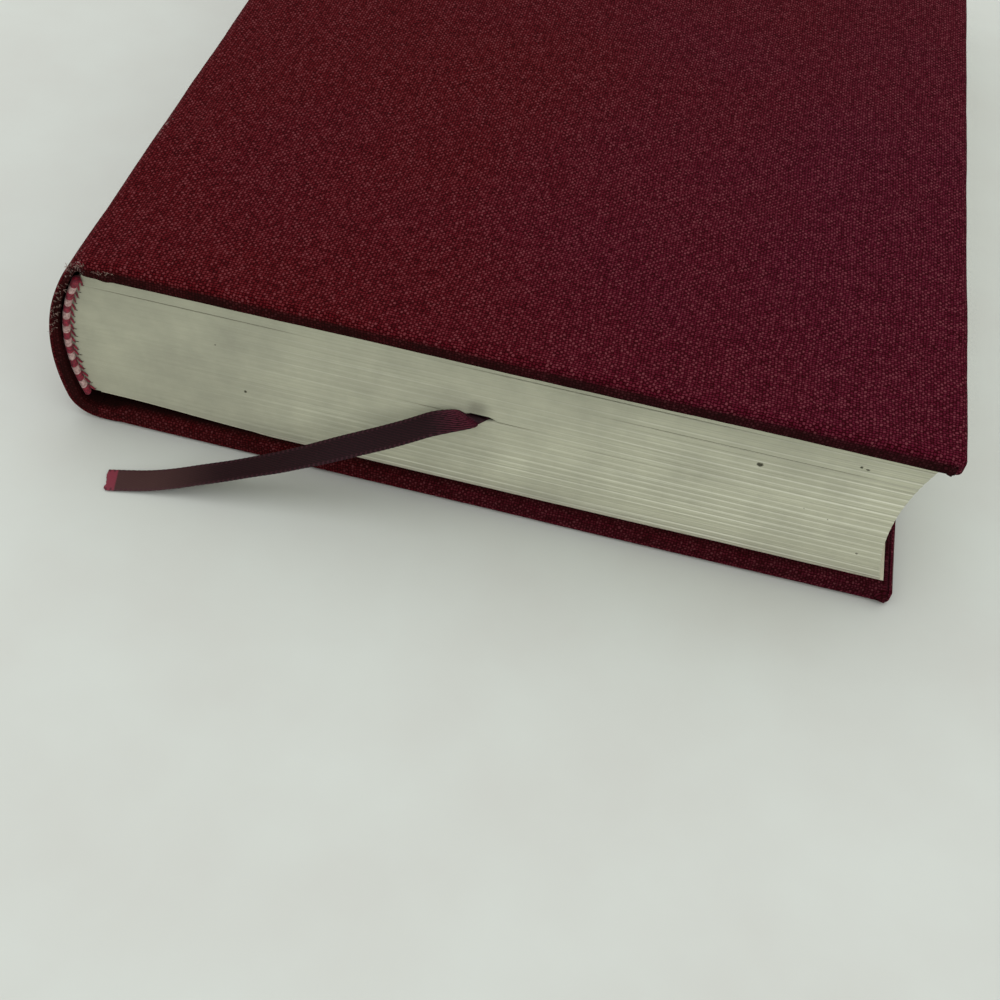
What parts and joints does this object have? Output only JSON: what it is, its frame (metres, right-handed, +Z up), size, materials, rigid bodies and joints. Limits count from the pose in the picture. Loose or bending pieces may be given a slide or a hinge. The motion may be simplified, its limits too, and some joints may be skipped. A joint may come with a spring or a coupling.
{
  "type": "hardback book",
  "caption": "Closed cloth-bound hardback with a rounded spine, striped headbands, hollow fore edge, ribbon marker and two hinged covers.",
  "frame": {"origin": "under the middle of the closed book, on the surface that its back cover lies on", "axes": "+X from the spine to the fore edge, +Y from the tail to the head, +Z up through the front cover"},
  "size_m": [0.156, 0.2324, 0.0385],
  "materials": {
    "book_paper": "cream book paper, cut edges",
    "endpaper": "cream endpaper",
    "book_cloth": "maroon plain-weave book cloth, matt, worn at the spine",
    "greyboard": "dense grey binder's board",
    "spine_card": "thin flexible card",
    "mull": "starched open-weave gauze",
    "kraft_paper": "brown kraft paper",
    "cotton": "cotton cord and tape",
    "red_silk": "red thread, slight sheen",
    "white_silk": "off-white thread, slight sheen",
    "satin_ribbon": "dark maroon satin ribbon, woven edges"
  },
  "bodies": {
    "book_block": {"text_block": "book_paper", "front_flyleaf": "endpaper", "back_flyleaf": "endpaper", "spine_mull": "mull", "spine_lining": "kraft_paper", "spine_inlay": "spine_card", "spine_cloth": "book_cloth", "ribbon_in_pages": "satin_ribbon", "ribbon_free_end": "satin_ribbon", "tailband_core": "cotton", "tailband_tape": "cotton", "tailband_red": "red_silk", "tailband_white": "white_silk", "headband_core": "cotton", "headband_tape": "cotton", "headband_red": "red_silk", "headband_white": "white_silk"},
    "front_cover": {"front_board": "greyboard", "front_cover_cloth": "book_cloth", "front_mull_flange": "mull", "front_pastedown": "endpaper"},
    "back_cover": {"back_board": "greyboard", "back_cover_cloth": "book_cloth", "back_mull_flange": "mull", "back_pastedown": "endpaper"}
  },
  "joints": [
    {"name": "front_cover_hinge", "type": "hinge", "parent": "book_block", "child": "front_cover", "pos_m": [-0.06743, 0, 0.03828], "axis": [0, -1, 0], "range_deg": [0, 180]},
    {"name": "back_cover_hinge", "type": "hinge", "parent": "book_block", "child": "back_cover", "pos_m": [-0.06869, 0, 0], "axis": [0, 1, 0], "range_deg": [0, 180]}
  ]
}
